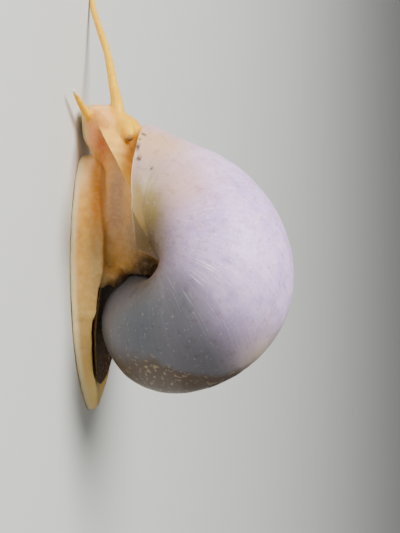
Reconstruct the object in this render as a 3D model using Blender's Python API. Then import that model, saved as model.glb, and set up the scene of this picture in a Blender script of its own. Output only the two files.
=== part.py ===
"""Apple snail crawling over a flat floor: shell, operculum and soft body as solids.

Lengths are worked out in millimetres and turned into metres at the end, +Z up.
X points forward along the foot and Y to the animal's left. The origin lies in
the middle of the flat sole, on the floor.
"""
import math

import bmesh
import bpy
import numpy as np

MM = 0.001
GAP = 0.3                     # clearance between neighbouring pieces
SOLVER = "MANIFOLD"           # stays closed where the coil's walls graze each other

# Shell: a right-handed coil that grows by GROWTH in each turn. The opening's oval
# has its centre LIP_RADIUS from the coil's axis, LIP_DROP below the apex.
GROWTH = 2.43
LIP_RADIUS = 12.5
LIP_DROP = 20.8
LIP_HALF_WIDTH = 12.0         # outwards from the axis
LIP_HALF_HEIGHT = 14.4        # along the axis
SLANT = 1.85                  # how far the oval's outer side is shifted to the apex
SHOULDER = 2.4                # squareness of the oval beside the suture
PERIPHERY = 2.15              # and of its outer side towards the base
BASE = 3.45                   # and of its side along the umbilicus
CORE = 0.35                   # least distance of the lip's inner side from the axis
APEX = (-11.7, -5.15, 18.3)
AXIS_BACK = 48.0              # degrees the spire is turned back from due right
AXIS_UP = 9.6                 # degrees the spire points upwards
COIL_ROLL = -12.9             # degrees about the axis, nose of the opening down
LIP_ANGLE = -2.5              # degrees of growth at which the lip stands
LIP_LEAN = -1.5               # degrees that the lip hangs back at its base
FLARE = 1.9                   # outward turn of the lip
FLARE_ANGLE = -19.0
INNER_LIP = 3.2               # how far the lip's inner side runs on beside the axis
TURNS = 3.4
WALL = 0.9
CALLUS = 0.25                 # glaze of the opening over the older whorl
RECESS = 19.0                 # degrees that the opening reaches inwards
LENGTH_ANGLE = 270.0          # longest piece of tube that stays clear of itself
LENGTH_OVERLAP = 7.0
LENGTH_STEP = 0.02
RING_SIDES = 28
STEPS_PER_TURN = (36, 24, 14, 10)

# Foot: stations from the front edge to the tip of the tail, as forward place, left
# edge, right edge and height of the flank. Its front turns to the animal's right.
FOOT_STATIONS = (
    (21.2, -1.6, -5.0, 2.3),
    (20.6, 0.2, -6.2, 3.3),
    (19.2, 2.1, -7.3, 4.3),
    (17.0, 3.9, -8.2, 5.0),
    (14.0, 5.6, -8.7, 5.4),
    (10.5, 7.1, -8.7, 5.6),
    (7.0, 8.2, -8.4, 5.8),
    (3.5, 8.8, -8.0, 5.7),
    (0.0, 9.0, -7.8, 5.0),
    (-4.0, 8.9, -7.9, 4.2),
    (-8.7, 8.1, -7.6, 3.7),
    (-12.5, 6.9, -6.9, 3.4),
    (-16.0, 5.0, -5.6, 3.0),
    (-19.0, 2.6, -3.9, 2.4),
    (-20.7, 0.8, -2.2, 1.7),
    (-21.2, 0.0, -1.4, 1.2),
)
SOLE_MARGIN = 0.55            # height of the foot's widest line
FOOT_GROOVE = 1.0             # depth of the furrow between flank and body

# Operculum: a thin dished plate on the tail.
PLATE_CENTRE = (-6.9, 0.4)
PLATE_HALF = (9.7, 7.4)
PLATE_THICK = 0.7
PLATE_DISH = 1.15
PLATE_LOW = 2.95              # height of the plate's top along its middle
PLATE_RISE_FROM = -8.0
PLATE_RISE = 0.0175

# Column from the foot into the opening: height, forward place, left place, half-
# length and half-breadth of each oval.
COLUMN_OVALS = (
    (2.0, 8.5, -0.5, 10.0, 5.2),
    (5.0, 10.9, -0.4, 10.3, 5.3),
    (8.0, 11.4, 0.0, 11.4, 5.9),
    (10.5, 11.6, 0.6, 11.6, 7.2),
    (12.5, 11.5, 0.8, 11.3, 9.6),
    (17.0, 12.4, 0.0, 9.2, 9.4),
)

# Head and neck: forward place, height of the middle, half-height, half-breadth.
HEAD_SIDE = -2.0              # the head is bent a little to the animal's right
HEAD_OVALS = (
    (29.5, 3.4, 2.1, 3.4),
    (29.2, 3.4, 2.7, 4.3),
    (28.6, 3.6, 3.1, 4.8),
    (27.5, 4.0, 3.6, 5.0),
    (26.7, 4.6, 4.2, 5.1),
    (25.9, 5.0, 4.6, 5.2),
    (24.5, 5.2, 4.7, 5.2),
    (23.2, 5.6, 4.6, 5.2),
    (22.1, 6.1, 4.4, 5.3),
    (20.5, 6.6, 4.0, 5.5),
    (17.0, 7.0, 4.0, 5.8),
)
MOUTH_AT = (28.6, 1.75)       # forward place and height of the mouth's slit
MOUTH_HALF = (1.1, 0.28, 1.5)

# Skirts of the neck: free edge and root as forward, left and up, front to back.
SIPHON_EDGE = ((26.4, 4.2, 4.1), (23.9, 6.1, 5.8), (21.0, 7.9, 7.7), (18.2, 9.4, 9.4), (15.4, 10.6, 11.0))
SIPHON_ROOT = ((25.6, 1.0, 6.4), (23.6, 1.8, 8.2), (21.2, 2.8, 9.6), (18.6, 4.2, 11.0), (15.8, 5.8, 12.4))
LOBE_EDGE = ((23.0, -8.0, 4.8), (21.8, -8.7, 6.4), (19.8, -9.0, 7.8), (17.4, -9.2, 9.4))
LOBE_ROOT = ((22.8, -5.0, 6.4), (21.8, -5.2, 7.8), (20.0, -5.4, 8.8), (17.8, -5.6, 10.0))
SKIRT_THICK = 1.1

# Feelers: forward, left, up and radius along each.
LEFT_TENTACLE = (
    (26.6, 0.6, 6.2, 1.5),
    (28.7, -0.2, 6.8, 1.15),
    (33.2, -2.6, 5.6, 0.78),
    (38.0, -5.8, 4.15, 0.68),
    (42.4, -8.2, 2.35, 0.59),
    (46.4, -10.6, 0.75, 0.51),
    (50.5, -12.2, 0.42, 0.43),
    (56.0, -13.2, 0.34, 0.35),
    (61.0, -12.8, 0.26, 0.27),
)
RIGHT_TENTACLE = (
    (25.9, -4.6, 5.6, 1.15),
    (26.7, -7.0, 4.7, 0.98),
    (26.7, -10.4, 2.6, 0.84),
    (25.4, -15.5, 1.2, 0.68),
    (22.9, -20.6, 0.72, 0.58),
    (19.6, -25.4, 0.52, 0.50),
    (15.4, -29.6, 0.42, 0.42),
    (10.8, -32.0, 0.34, 0.34),
    (6.6, -32.6, 0.26, 0.27),
)
LEFT_PALP = (
    (27.4, 1.6, 2.5, 0.95),
    (28.9, 3.9, 2.1, 0.66),
    (30.5, 6.2, 1.75, 0.45),
    (31.9, 8.4, 1.6, 0.26),
)
RIGHT_PALP = (
    (27.3, -5.4, 2.2, 0.95),
    (26.2, -8.0, 1.45, 0.66),
    (24.6, -9.6, 0.95, 0.45),
    (22.8, -10.2, 0.6, 0.27),
)
LEFT_EYE_STALK = ((26.4, 0.4, 7.4, 1.4), (25.9, 1.9, 8.6, 1.35), (24.3, 3.5, 9.3, 0.95))
RIGHT_EYE_STALK = ((25.4, -5.2, 6.4, 1.3), (24.7, -6.9, 7.4, 1.25), (23.6, -8.0, 8.2, 0.95))
TENTACLE_LENGTHS = {"base": (0.0, 0.36), "middle": (0.36, 0.68), "tip": (0.68, 1.0)}
EYE_RADIUS = 0.45
FEELER_SIDES = 10

VOXEL = 0.42
SMOOTHING = 6
FLESH_TRIANGLES = 4700

# Planes that part the soft body: forward places, and heights above the foot.
HEAD_PLANE = 21.6
NECK_PLANE = 15.2
FOOT_PLANES = (8.8, -5.3)
FOOT_HEIGHT = 4.5
MANTLE_HEIGHT = 10.6
FAR = 90.0

COLOURS = {
    "shell": (0.72, 0.66, 0.68, 1.0),
    "flesh": (0.80, 0.58, 0.38, 1.0),
    "feeler": (0.85, 0.66, 0.32, 1.0),
    "operculum": (0.20, 0.13, 0.08, 1.0),
    "eye": (0.05, 0.04, 0.03, 1.0),
}


def clear_scene():
    for obj in list(bpy.data.objects):
        bpy.data.objects.remove(obj, do_unlink=True)


def mesh_object(name, vertices, faces):
    mesh = bpy.data.meshes.new(name)
    mesh.from_pydata([tuple(v) for v in vertices], [], faces)
    bm = bmesh.new()
    bm.from_mesh(mesh)
    bmesh.ops.recalc_face_normals(bm, faces=bm.faces)
    bmesh.ops.triangulate(bm, faces=bm.faces)
    bm.to_mesh(mesh)
    bm.free()
    obj = bpy.data.objects.new(name, mesh)
    bpy.context.scene.collection.objects.link(obj)
    return obj


def loft(name, rings):
    """Closed skin over rings of equal point count, a fan of triangles at each end."""
    rings = np.asarray(rings, dtype=float)
    count, sides = rings.shape[:2]
    vertices = rings.reshape(-1, 3).tolist()
    faces = []
    for i in range(count - 1):
        for j in range(sides):
            k = (j + 1) % sides
            low, high = i * sides, (i + 1) * sides
            faces.append((low + j, low + k, high + k, high + j))
    for start in (0, (count - 1) * sides):
        hub = len(vertices)
        vertices.append(np.mean(vertices[start:start + sides], axis=0).tolist())
        faces += [(start + j, start + (j + 1) % sides, hub) for j in range(sides)]
    return mesh_object(name, vertices, faces)


def box(name, low, high):
    corners = [(x, y, z) for x in (low[0], high[0]) for y in (low[1], high[1]) for z in (low[2], high[2])]
    faces = [(0, 1, 3, 2), (4, 6, 7, 5), (0, 4, 5, 1), (2, 3, 7, 6), (0, 2, 6, 4), (1, 5, 7, 3)]
    return mesh_object(name, corners, faces)


def ball(name, centre, radii, rings=7, sides=10):
    """Closed ellipsoid as a loft between two small caps."""
    stack = []
    for i in range(rings + 1):
        tilt = math.pi * (0.04 + 0.92 * i / rings)
        stack.append([
            (
                centre[0] + radii[0] * math.sin(tilt) * math.cos(turn),
                centre[1] + radii[1] * math.sin(tilt) * math.sin(turn),
                centre[2] + radii[2] * math.cos(tilt),
            )
            for turn in np.linspace(0, 2 * math.pi, sides, endpoint=False)
        ])
    return loft(name, stack)


def copy_of(obj, name):
    twin = bpy.data.objects.new(name, obj.data.copy())
    bpy.context.scene.collection.objects.link(twin)
    return twin


def discard(*objects):
    for obj in objects:
        bpy.data.objects.remove(obj, do_unlink=True)


def apply_modifiers(obj):
    bpy.context.view_layer.update()
    depsgraph = bpy.context.evaluated_depsgraph_get()
    mesh = bpy.data.meshes.new_from_object(obj.evaluated_get(depsgraph))
    obj.modifiers.clear()
    obj.data = mesh


def boolean(obj, tool, operation, solver=SOLVER):
    mod = obj.modifiers.new(operation, "BOOLEAN")
    mod.operation = operation
    mod.solver = solver
    mod.object = tool
    apply_modifiers(obj)
    return obj


def union(obj, pieces):
    """Joins the pieces to the object in one step and removes them."""
    group = bpy.data.collections.new(obj.name + "_pieces")
    for piece in pieces:
        group.objects.link(piece)
    mod = obj.modifiers.new("join", "BOOLEAN")
    mod.operation = "UNION"
    mod.solver = SOLVER
    mod.operand_type = "COLLECTION"
    mod.collection = group
    apply_modifiers(obj)
    discard(*pieces)
    bpy.data.collections.remove(group)
    return obj


def keep_largest(obj):
    """Drops every closed surface but the one with most faces."""
    bm = bmesh.new()
    bm.from_mesh(obj.data)
    left = set(bm.faces)
    shells = []
    while left:
        seed = left.pop()
        group, queue = {seed}, [seed]
        while queue:
            for edge in queue.pop().edges:
                for face in edge.link_faces:
                    if face in left:
                        left.discard(face)
                        group.add(face)
                        queue.append(face)
        shells.append(group)
    largest = max(shells, key=lambda group: sum(face.calc_area() for face in group))
    spare = [face for face in bm.faces if face not in largest]
    bmesh.ops.delete(bm, geom=spare, context="FACES")
    bm.to_mesh(obj.data)
    bm.free()
    return obj


def tidy(obj, merge=0.0001):
    """Welds near-coincident points and removes faces without area."""
    bm = bmesh.new()
    bm.from_mesh(obj.data)
    bmesh.ops.triangulate(bm, faces=bm.faces)
    bmesh.ops.remove_doubles(bm, verts=bm.verts, dist=merge)
    bmesh.ops.dissolve_degenerate(bm, edges=bm.edges, dist=merge)
    bmesh.ops.triangulate(bm, faces=bm.faces)
    bm.to_mesh(obj.data)
    bm.free()
    return obj


def swollen(obj, amount, name):
    """Copy with every point moved outwards, which keeps a clearance when cut away."""
    twin = copy_of(obj, name)
    mod = twin.modifiers.new("swell", "DISPLACE")
    mod.direction = "NORMAL"
    mod.mid_level = 0.0
    mod.strength = amount
    apply_modifiers(twin)
    return twin


def along(values, count):
    """Smooth curve through the given rows, sampled evenly by row."""
    rows = np.asarray(values, dtype=float)
    padded = np.vstack([2 * rows[0] - rows[1], rows, 2 * rows[-1] - rows[-2]])
    out = []
    for s in np.linspace(0, len(rows) - 1, count):
        i = min(int(s), len(rows) - 2)
        t = s - i
        a, b, c, d = padded[i:i + 4]
        square, cube = 2 * a - 5 * b + 4 * c - d, 3 * b - a - 3 * c + d
        out.append(b + 0.5 * ((c - a) * t + square * t**2 + cube * t**3))
    return np.array(out)


# Shell

def shell_axes():
    """Unit vectors of the coil: outwards at the lip, across, and towards the apex."""
    back, up, roll = (math.radians(v) for v in (AXIS_BACK, AXIS_UP, COIL_ROLL))
    apexward = np.array([-math.sin(back) * math.cos(up), -math.cos(back) * math.cos(up), math.sin(up)])
    level = np.array([1.0, 0.0, 0.0]) - apexward[0] * apexward
    level /= np.linalg.norm(level)
    across = np.cross(apexward, level)
    outward = level * math.cos(roll) + across * math.sin(roll)
    return outward, np.cross(apexward, outward), apexward


def oval_point(turn):
    """Place on the unit oval, with its own squareness in three of its quarters."""
    c, s = math.cos(turn), math.sin(turn)
    square = 2.0
    if c > 0:
        square = SHOULDER if s > 0 else PERIPHERY
    elif s < 0:
        square = BASE
    return [math.copysign(abs(v) ** (2.0 / square), v) for v in (c, s)]


def inner_share(u, v):
    """1 on the oval's inner side just below its middle, falling to 0 at its base."""
    return min(1.0, max(0.0, -v / 0.15)) * max(0.0, 1.0 + v / 0.85) if u < 0 else 0.0


def whorl_ring(angle, inset=0.0):
    """Oval of the growing tube, at a number of degrees back from the lip's plane."""
    outward, across, apexward = shell_axes()
    ring = []
    for turn in np.linspace(0, 2 * math.pi, RING_SIDES, endpoint=False):
        lean = LIP_LEAN * max(0.0, -math.sin(turn)) * (1.0 + math.cos(turn))
        growth = angle - lean
        scale = GROWTH ** (growth / 360.0)
        edge = max(0.0, (growth - FLARE_ANGLE) / (LIP_ANGLE - FLARE_ANGLE)) ** 2
        flare = FLARE * edge
        spin = math.radians(-growth)
        radial = outward * math.cos(spin) + across * math.sin(spin)
        onward = outward * math.sin(spin) - across * math.cos(spin)
        u, v = oval_point(turn)
        least = max(CORE * scale + 0.4 * inset, 0.5 * CORE * scale)
        r = max(scale * LIP_RADIUS + (scale * LIP_HALF_WIDTH + flare - inset) * u, least)
        h = scale * (SLANT * u - LIP_DROP) + (scale * LIP_HALF_HEIGHT + 0.5 * flare - inset) * v
        reach = INNER_LIP * edge * inner_share(u, v)
        ring.append(np.array(APEX) + r * radial + h * apexward + reach * onward)
    return ring


def whorl_angles(first, last):
    angles = [first]
    while angles[-1] > last:
        turn = min(int(-angles[-1] // 360.0) if angles[-1] < 0 else 0, len(STEPS_PER_TURN) - 1)
        angles.append(max(angles[-1] - 360.0 / STEPS_PER_TURN[turn], last))
    return angles


def whorls(name, first, last, inset=0.0):
    """Growing tube between two angles, joined from lengths too short to meet themselves.

    Each length starts inside the one before it and is a hair thinner.
    """
    pieces = []
    while first > last:
        end = max(first - LENGTH_ANGLE, last)
        start = first + LENGTH_OVERLAP if pieces else first
        thinner = inset + LENGTH_STEP * len(pieces)
        pieces.append(loft(name, [whorl_ring(angle, thinner) for angle in whorl_angles(start, end)]))
        first = end
    return union(pieces[0], pieces[1:]) if len(pieces) > 1 else pieces[0]


def columella():
    """Core that closes the umbilicus some way inside its mouth."""
    outward, across, apexward = shell_axes()
    rings = []
    for depth, radius in ((-0.3, 0.25), (3.0, 0.8), (8.0, 1.4), (14.0, 1.7), (20.5, 1.1)):
        centre = np.array(APEX) - depth * apexward
        rings.append([
            centre + radius * (math.cos(turn) * outward + math.sin(turn) * across)
            for turn in np.linspace(0, 2 * math.pi, 14, endpoint=False)
        ])
    return loft("core", rings)


def make_shell():
    shell = whorls("shell", LIP_ANGLE, -360.0 * TURNS)
    bead = ball("bead", np.array(APEX) - 0.9 * shell_axes()[2], (0.9, 0.9, 0.9))
    union(shell, [columella(), bead])
    keep_largest(shell)
    hollow = whorls("hollow", LIP_ANGLE + 5.0, LIP_ANGLE - RECESS, inset=WALL)
    older = whorls("older", -230.0, -360.0 * 2.0, inset=-CALLUS)
    boolean(hollow, older, "DIFFERENCE")
    boolean(shell, hollow, "DIFFERENCE")
    discard(hollow, older)
    return tidy(keep_largest(shell))


# Operculum

def plate_top(x, y):
    rise = max(0.0, x - PLATE_RISE_FROM)
    across = (y - PLATE_CENTRE[1]) / PLATE_HALF[1]
    return PLATE_LOW + PLATE_RISE * rise**2 + PLATE_DISH * across**2


def make_operculum():
    """Dished oval, blunter at its front end, as two skins and a rounded rim."""
    rim = []
    for turn in np.linspace(0, 2 * math.pi, 32, endpoint=False):
        c, s = math.cos(turn), math.sin(turn)
        blunt = 0.85 if c > 0 else 1.0
        rim.append((math.copysign(abs(c) ** blunt, c), s))
    layers = [(0.25, 0.0), (0.55, 0.0), (0.82, 0.0), (0.97, 0.0), (1.0, 0.3), (1.0, 0.7), (0.97, 1.0),
              (0.82, 1.0), (0.55, 1.0), (0.25, 1.0)]
    rings = []
    for reach, depth in layers:
        ring = []
        for c, s in rim:
            x = PLATE_CENTRE[0] + PLATE_HALF[0] * reach * c
            y = PLATE_CENTRE[1] + PLATE_HALF[1] * reach * s
            ring.append((x, y, plate_top(x, y) - PLATE_THICK * depth))
        rings.append(ring)
    return tidy(loft("operculum", rings))


# Soft body

def foot_ring(x, left, right, height):
    """Outline across the foot, a little below the floor so that it can be cut flat."""
    middle, reach = 0.5 * (left + right), 0.5 * (left - right)
    top = min(height, plate_top(x, 0.0) - PLATE_THICK - GAP) if x < 1.0 else height - FOOT_GROOVE
    half = [
        (reach - 1.3, -1.5),
        (reach - 0.4, 0.0),
        (reach, SOLE_MARGIN),
        (reach - 0.3, 0.5 * height + 0.3),
        (reach - 0.9, height),
        (reach - 2.0, 0.35 * height + 0.65 * top),
        (0.2 * reach, top),
    ]
    points = half + [(-y, z) for y, z in reversed(half)]
    return [(x, middle + y, z) for y, z in points]


def make_foot():
    stations = along(FOOT_STATIONS, 34)
    return loft("foot", [foot_ring(*row) for row in stations])


def oval(centre, first, second, sides=24):
    centre, first, second = (np.array(v, dtype=float) for v in (centre, first, second))
    turns = np.linspace(0, 2 * math.pi, sides, endpoint=False)
    return [centre + math.cos(t) * first + math.sin(t) * second for t in turns]


def make_column():
    rows = along(COLUMN_OVALS, 12)
    return loft("column", [oval((x, y, z), (a, 0, 0), (0, b, 0)) for z, x, y, a, b in rows])


def make_head():
    rows = along(HEAD_OVALS, 24)
    return loft("snout", [oval((x, HEAD_SIDE, z), (0, b, 0), (0, 0, h)) for x, z, h, b in rows])


def skirt(name, edge_points, root_points):
    """Fold that thins from its root in the neck to a rounded free edge."""
    edges, roots = along(edge_points, 14), along(root_points, 14)
    tangents = np.gradient(edges, axis=0)
    rings = []
    for edge, root, tangent in zip(edges, roots, tangents):
        outward = edge - root
        side = np.cross(tangent, outward)
        side /= np.linalg.norm(side)
        ring = []
        for reach, thick in ((0.0, 1.5), (0.45, 1.0), (0.8, 0.6), (0.96, 0.4), (1.0, 0.12)):
            ring.append(root + reach * outward + side * thick * SKIRT_THICK)
        for reach, thick in ((1.0, 0.12), (0.96, 0.4), (0.8, 0.6), (0.45, 1.0), (0.0, 1.5)):
            ring.append(root + reach * outward - side * thick * SKIRT_THICK)
        rings.append(ring)
    return loft(name, rings)


def feeler(name, rows, count, share=(0.0, 1.0)):
    """Round tapering tube over a share of its path."""
    fine = along(rows, 241)
    run = np.concatenate([[0.0], np.cumsum(np.linalg.norm(np.diff(fine[:, :3], axis=0), axis=1))])
    clear = 0.5 * GAP / run[-1]
    first = share[0] + (clear if share[0] > 0.0 else 0.0)
    last = share[1] - (clear if share[1] < 1.0 else 0.0)
    wanted = np.linspace(first, last, count) * run[-1]
    path = np.stack([np.interp(wanted, run, column) for column in fine.T], axis=1)
    tangents = np.gradient(path[:, :3], axis=0)
    rings = []
    for (x, y, z, radius), tangent in zip(path, tangents):
        tangent = tangent / np.linalg.norm(tangent)
        side = np.cross(tangent, (0.0, 0.0, 1.0))
        side /= np.linalg.norm(side)
        up = np.cross(side, tangent)
        rings.append(oval((x, y, z), side * radius, up * radius, FEELER_SIDES))
    return loft(name, rings)


def soften(obj):
    """One even, smooth skin over the joined pieces of the body."""
    remesh = obj.modifiers.new("even", "REMESH")
    remesh.mode = "VOXEL"
    remesh.voxel_size = VOXEL
    smooth = obj.modifiers.new("smooth", "SMOOTH")
    smooth.factor = 0.5
    smooth.iterations = SMOOTHING
    apply_modifiers(obj)
    faces = len(obj.data.polygons)
    fewer = obj.modifiers.new("fewer", "DECIMATE")
    fewer.ratio = min(1.0, FLESH_TRIANGLES / (2.0 * faces))
    apply_modifiers(obj)
    return obj


def cut_floor(obj):
    slab = box("slab", (-FAR, -FAR, -FAR), (FAR, FAR, 0.0))
    boolean(obj, slab, "DIFFERENCE")
    discard(slab)
    return obj


def make_body(shell, operculum):
    body = make_foot()
    plug = whorls("plug", LIP_ANGLE - 2.0, LIP_ANGLE - RECESS + 1.5, inset=0.6 * WALL)
    union(body, [make_column(), make_head(), plug])
    soften(keep_largest(body))
    cut_floor(body)
    mouth = ball("mouth", (MOUTH_AT[0], HEAD_SIDE, MOUTH_AT[1]), MOUTH_HALF)
    boolean(body, mouth, "DIFFERENCE")
    discard(mouth)
    for hard in (shell, operculum):
        clearance = swollen(hard, GAP, "clearance")
        boolean(body, clearance, "DIFFERENCE")
        discard(clearance)
    return keep_largest(body)


def part_of(body, name, low, high):
    """The body's share inside a block, given by its lowest and highest corners."""
    piece = copy_of(body, name)
    block = box("block", low, high)
    boolean(piece, block, "INTERSECT", "EXACT")
    discard(block)
    return tidy(keep_largest(piece))


def split_body(body):
    half = 0.5 * GAP
    front, back = FOOT_PLANES
    low, high = FOOT_HEIGHT - half, FOOT_HEIGHT + half
    return [
        part_of(body, "head", (HEAD_PLANE + half, -FAR, -1.0), (FAR, FAR, MANTLE_HEIGHT - half)),
        part_of(body, "neck", (NECK_PLANE + half, -FAR, high), (HEAD_PLANE - half, FAR, MANTLE_HEIGHT - half)),
        part_of(body, "body_column", (-FAR, -FAR, high), (NECK_PLANE - half, FAR, MANTLE_HEIGHT - half)),
        part_of(body, "mantle", (-FAR, -FAR, MANTLE_HEIGHT + half), (FAR, FAR, FAR)),
        part_of(body, "foot_front", (front + half, -FAR, -1.0), (HEAD_PLANE - half, FAR, low)),
        part_of(body, "foot_middle", (back + half, -FAR, -1.0), (front - half, FAR, low)),
        part_of(body, "foot_tail", (-FAR, -FAR, -1.0), (back - half, FAR, low)),
    ]


def trimmed(piece, obstacles, floor=False):
    """Cuts clearances for its neighbours out of a fold or feeler."""
    if floor:
        cut_floor(piece)
    for obstacle in obstacles:
        boolean(piece, obstacle, "DIFFERENCE")
    return tidy(keep_largest(piece))


def make_feelers(obstacles):
    pieces = []
    for side, rows in (("left", LEFT_TENTACLE), ("right", RIGHT_TENTACLE)):
        for length, share in TENTACLE_LENGTHS.items():
            piece = feeler(f"{side}_tentacle_{length}", rows, 14, share)
            pieces.append(trimmed(piece, obstacles if length == "base" else [], floor=True))
    for side, rows in (("left", LEFT_PALP), ("right", RIGHT_PALP)):
        pieces.append(trimmed(feeler(side + "_palp", rows, 12), obstacles, floor=True))
    return pieces


def make_eyes(obstacles):
    pieces = []
    for side, rows in (("left", LEFT_EYE_STALK), ("right", RIGHT_EYE_STALK)):
        stalk = feeler(side + "_eye_stalk", rows, 7)
        tip, before = np.array(rows[-1][:3]), np.array(rows[-2][:3])
        outward = (tip - before) / np.linalg.norm(tip - before)
        cap = ball("cap", tip, (rows[-1][3],) * 3)
        union(stalk, [cap])
        centre = tip + outward * 0.55
        eye = ball(side + "_eye", centre, (EYE_RADIUS,) * 3)
        socket = ball("socket", centre, (EYE_RADIUS + 0.12,) * 3)
        boolean(stalk, socket, "DIFFERENCE")
        discard(socket)
        pieces += [trimmed(stalk, obstacles), tidy(eye)]
    return pieces


def material(name):
    mat = bpy.data.materials.get(name) or bpy.data.materials.new(name)
    mat.use_nodes = True
    mat.node_tree.nodes["Principled BSDF"].inputs["Base Color"].default_value = COLOURS[name]
    mat.node_tree.nodes["Principled BSDF"].inputs["Roughness"].default_value = 0.35
    return mat


def finish(obj, slot):
    """Metres, rounded shading and the node's own material."""
    for vertex in obj.data.vertices:
        vertex.co *= MM
    for polygon in obj.data.polygons:
        polygon.use_smooth = True
    obj.data.materials.clear()
    obj.data.materials.append(material(slot))


def slot_of(name):
    for word in ("shell", "operculum"):
        if name == word:
            return word
    if name.endswith("_eye"):
        return "eye"
    if "tentacle" in name or "palp" in name or "stalk" in name:
        return "feeler"
    return "flesh"


def build():
    clear_scene()
    shell = make_shell()
    operculum = make_operculum()
    body = make_body(shell, operculum)
    nodes = [shell, operculum] + split_body(body)
    body_clear = swollen(body, GAP, "body_clear")
    shell_clear = swollen(shell, GAP, "shell_clear")
    discard(body)
    siphon = trimmed(skirt("siphon_flap", SIPHON_EDGE, SIPHON_ROOT), [body_clear, shell_clear])
    lobe = trimmed(skirt("right_neck_lobe", LOBE_EDGE, LOBE_ROOT), [body_clear, shell_clear])
    beside = [siphon, lobe] + make_feelers([body_clear])
    beside_clear = [swollen(piece, GAP, "beside_clear") for piece in beside if "base" in piece.name]
    beside_clear.append(swollen(siphon, GAP, "beside_clear"))
    nodes += beside
    nodes += make_eyes([body_clear, shell_clear] + beside_clear)
    discard(body_clear, shell_clear, *beside_clear)
    for node in nodes:
        finish(node, slot_of(node.name))
    return nodes


build()
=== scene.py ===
"""Looks of the crawling apple snail: moist skin, porcelain-like coiled shell, horny operculum.

Lengths are in millimetres until a mesh is made. X points forwards, Y to the animal's
left and Z up from the sole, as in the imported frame.
"""
import math

import bmesh
import bpy
import numpy as np
from mathutils import Matrix, Vector
from mathutils.bvhtree import BVHTree


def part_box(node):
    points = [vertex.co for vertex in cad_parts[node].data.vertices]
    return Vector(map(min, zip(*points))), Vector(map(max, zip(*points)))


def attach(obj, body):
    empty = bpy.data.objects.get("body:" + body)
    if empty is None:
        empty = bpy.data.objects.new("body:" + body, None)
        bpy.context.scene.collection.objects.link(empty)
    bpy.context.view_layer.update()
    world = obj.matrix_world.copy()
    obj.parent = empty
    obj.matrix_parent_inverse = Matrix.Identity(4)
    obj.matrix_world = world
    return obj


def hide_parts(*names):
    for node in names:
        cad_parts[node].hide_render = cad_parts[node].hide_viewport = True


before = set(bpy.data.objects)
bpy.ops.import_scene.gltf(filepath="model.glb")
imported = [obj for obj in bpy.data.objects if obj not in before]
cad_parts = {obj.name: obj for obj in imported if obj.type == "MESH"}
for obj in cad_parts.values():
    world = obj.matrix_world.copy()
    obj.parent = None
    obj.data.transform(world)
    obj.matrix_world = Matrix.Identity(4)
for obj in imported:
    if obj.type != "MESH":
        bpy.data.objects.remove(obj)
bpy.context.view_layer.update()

MM = 0.001
IMAGE_SIZE = (400, 533)
PIXELS_PER_MM = 6.1           # at the snail's distance

# Camera, turned so that forwards is up in the picture.
CAMERA_TARGET = (2.7, 0.0, 19.8)
CAMERA_PLACE = (24.6, 250.0, 62.5)
CAMERA_ROLL = 1.6             # degrees
SENSOR = 36.0

TRUNK = ("head", "neck", "body_column", "mantle", "foot_front", "foot_middle", "foot_tail")
FLAPS = ("siphon_flap", "right_neck_lobe")
FEELERS = tuple(
    [f"{side}_tentacle_{length}" for side in ("left", "right") for length in ("base", "middle", "tip")]
    + [f"{side}_{part}" for side in ("left", "right") for part in ("palp", "eye_stalk")]
)

# Skin over the flesh.
BRIDGE = 0.22                 # swelling that closes the gaps between the pieces
TRUNK_VOXEL = 0.3
SKIN_VOXEL = 0.17
FLOOR_DROP = 0.02
TRUNK_PASSES = 12             # rounds of smoothing for the trunk by itself
SKIN_PASSES = 4               # for the whole skin
ROOT_PASSES = 16              # for the feelers' roots
ROOT_REST = 0.15              # weight of those rounds away from the roots
EASE_PASSES = 70              # for the stretches in EASED
EASE_SWELL = 0.25             # how far each of those rounds swells back

# Fold that hangs over the left side of the neck: free edge and root, front to back.
FOLD_EDGE = ((26.3, 3.1, 4.0), (23.9, 6.1, 5.8), (21.0, 7.9, 7.7), (18.2, 9.4, 9.4), (15.4, 10.6, 11.0))
FOLD_ROOT = ((25.6, 1.0, 6.4), (23.6, 1.8, 8.2), (21.2, 2.8, 9.6), (18.6, 4.2, 11.0), (15.8, 5.8, 12.4))
FOLD_ROOT_HALF = 1.0          # half its thickness at the root
FOLD_EDGE_HALF = 0.3          # and beside the free edge
FOLD_BOW = 0.45

# Soft mounds of the skin as centre and radii: the brow joins the left feeler's root and
# the eye's stalk, the cheek fills the hollow under that stalk, the web joins the column
# and the foot's flank, and the pad lies against the operculum's front end.
MOUNDS = {
    "brow": ((23.5, -0.5, 6.5), (5.0, 3.7, 5.0)),
    "cheek": ((24.4, 1.5, 7.7), (2.5, 2.2, 2.0)),
    "web": ((2.2, 5.4, 4.4), (2.6, 1.5, 1.5)),
    "pad": ((1.6, 0.5, 6.6), (2.4, 6.5, 2.2)),
}
# Stretches that are smoothed most, as middle and reach: the left eye's stalk, the right
# one, the edge of the right lobe and the crease between column and foot.
EASED = ((25.8, 1.5, 8.2, 4.4), (24.0, -6.4, 8.4, 3.4), (20.0, -9.0, 8.5, 4.0),
         (12.0, 6.0, 5.2, 2.6), (8.5, 6.3, 5.4, 2.6), (5.0, 6.3, 5.4, 2.6), (2.0, 6.0, 5.2, 2.4))

# Furrow between the foot's flank and the neck, front to back.
FURROW = ((21.6, -0.5, 3.0), (20.4, 1.2, 4.0), (18.8, 2.6, 4.7),
          (15.5, 4.2, 4.9), (11.0, 5.8, 5.3), (6.0, 6.3, 5.6))
FURROW_DEPTH = 0.35
FURROW_WIDTH = 0.55
FURROW_FADE = (8.0, 16.0)     # forward places between which it fades out
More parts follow.
